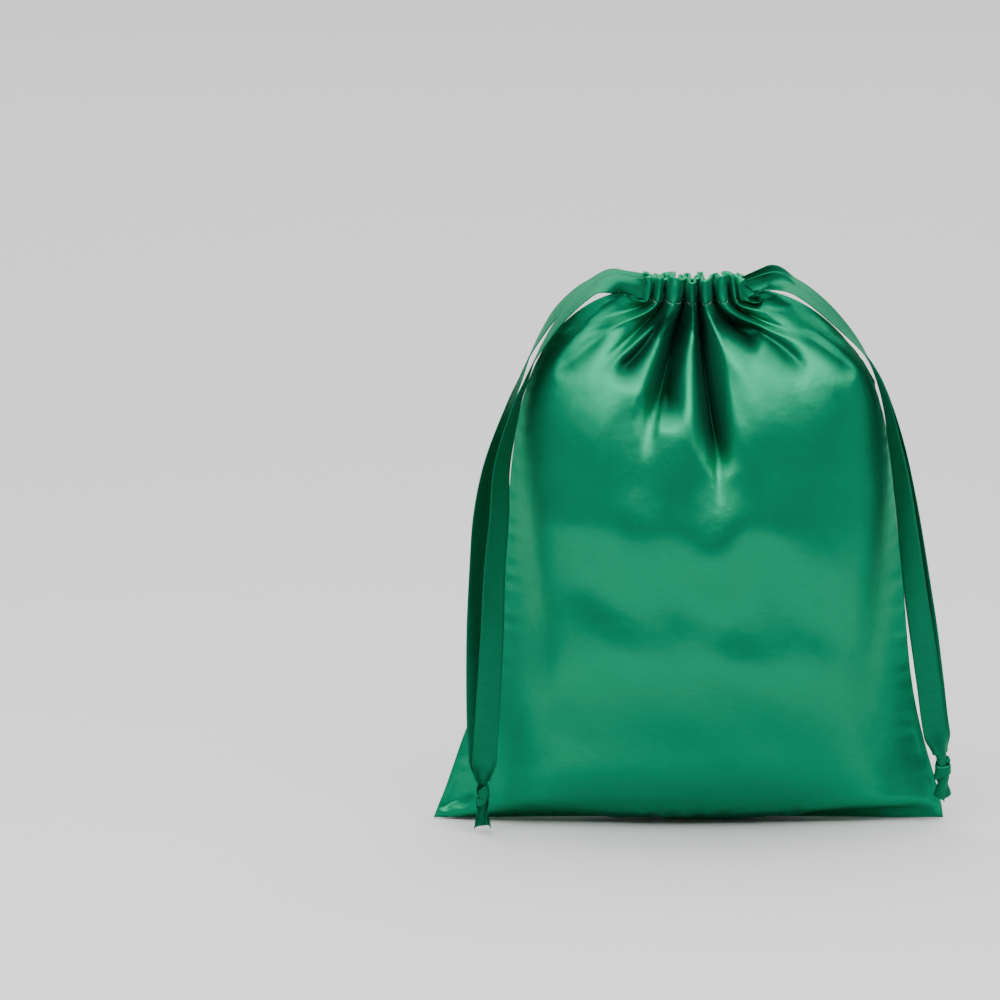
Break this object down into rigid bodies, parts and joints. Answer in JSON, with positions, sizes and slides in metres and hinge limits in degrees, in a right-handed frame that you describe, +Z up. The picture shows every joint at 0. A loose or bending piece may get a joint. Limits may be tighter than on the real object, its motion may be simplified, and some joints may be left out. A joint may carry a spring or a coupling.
{
  "type": "drawstring gift sack",
  "caption": "Satin gift sack, filled out and standing, with a gathered casing and a knotted ribbon drawstring at each side.",
  "frame": {"origin": "on the floor, under the middle of the standing sack, ribbons left out", "axes": "+Z up, X across the width with +X at the right as the front panel is seen, front panel facing -Y"},
  "size_m": [0.2519, 0.1206, 0.2718],
  "materials": {
    "sack_satin": "glossy woven satin",
    "ribbon_satin": "satin ribbon with woven edges",
    "casing_thread": "matt sewing thread",
    "seam_overlock": "matt overlock thread over cut satin edges"
  },
  "bodies": {
    "sack": {"front_panel": "sack_satin", "back_panel": "sack_satin", "left_side_seam": "seam_overlock", "right_side_seam": "seam_overlock", "bottom_seam": "seam_overlock", "left_ribbon_bight": "ribbon_satin", "right_ribbon_bight": "ribbon_satin", "left_ribbon_front_lead": "ribbon_satin", "left_ribbon_back_lead": "ribbon_satin", "right_ribbon_front_lead": "ribbon_satin", "right_ribbon_back_lead": "ribbon_satin"},
    "front_lip": {"front_casing": "sack_satin", "front_casing_stitch": "casing_thread", "left_ribbon_front_run": "ribbon_satin", "right_ribbon_front_run": "ribbon_satin"},
    "back_lip": {"back_casing": "sack_satin", "back_casing_stitch": "casing_thread", "left_ribbon_back_run": "ribbon_satin", "right_ribbon_back_run": "ribbon_satin"},
    "left_loop": {"left_ribbon_front_strand": "ribbon_satin", "left_ribbon_back_strand": "ribbon_satin", "left_ribbon_knot": "ribbon_satin", "left_ribbon_front_tail": "ribbon_satin", "left_ribbon_back_tail": "ribbon_satin"},
    "right_loop": {"right_ribbon_front_strand": "ribbon_satin", "right_ribbon_back_strand": "ribbon_satin", "right_ribbon_knot": "ribbon_satin", "right_ribbon_front_tail": "ribbon_satin", "right_ribbon_back_tail": "ribbon_satin"}
  },
  "joints": [
    {"name": "front_lip_open", "type": "hinge", "parent": "sack", "child": "front_lip", "pos_m": [0, -0.0197, 0.2562], "axis": [1, 0, 0], "range_deg": [0, 20]},
    {"name": "back_lip_open", "type": "hinge", "parent": "sack", "child": "back_lip", "pos_m": [0, 0.0197, 0.2562], "axis": [-1, 0, 0], "range_deg": [0, 20]},
    {"name": "left_loop_lift", "type": "hinge", "parent": "sack", "child": "left_loop", "pos_m": [-0.044, 0, 0.267], "axis": [0, 1, 0], "range_deg": [0, 80]},
    {"name": "right_loop_lift", "type": "hinge", "parent": "sack", "child": "right_loop", "pos_m": [0.044, 0, 0.267], "axis": [0, -1, 0], "range_deg": [0, 80]}
  ]
}
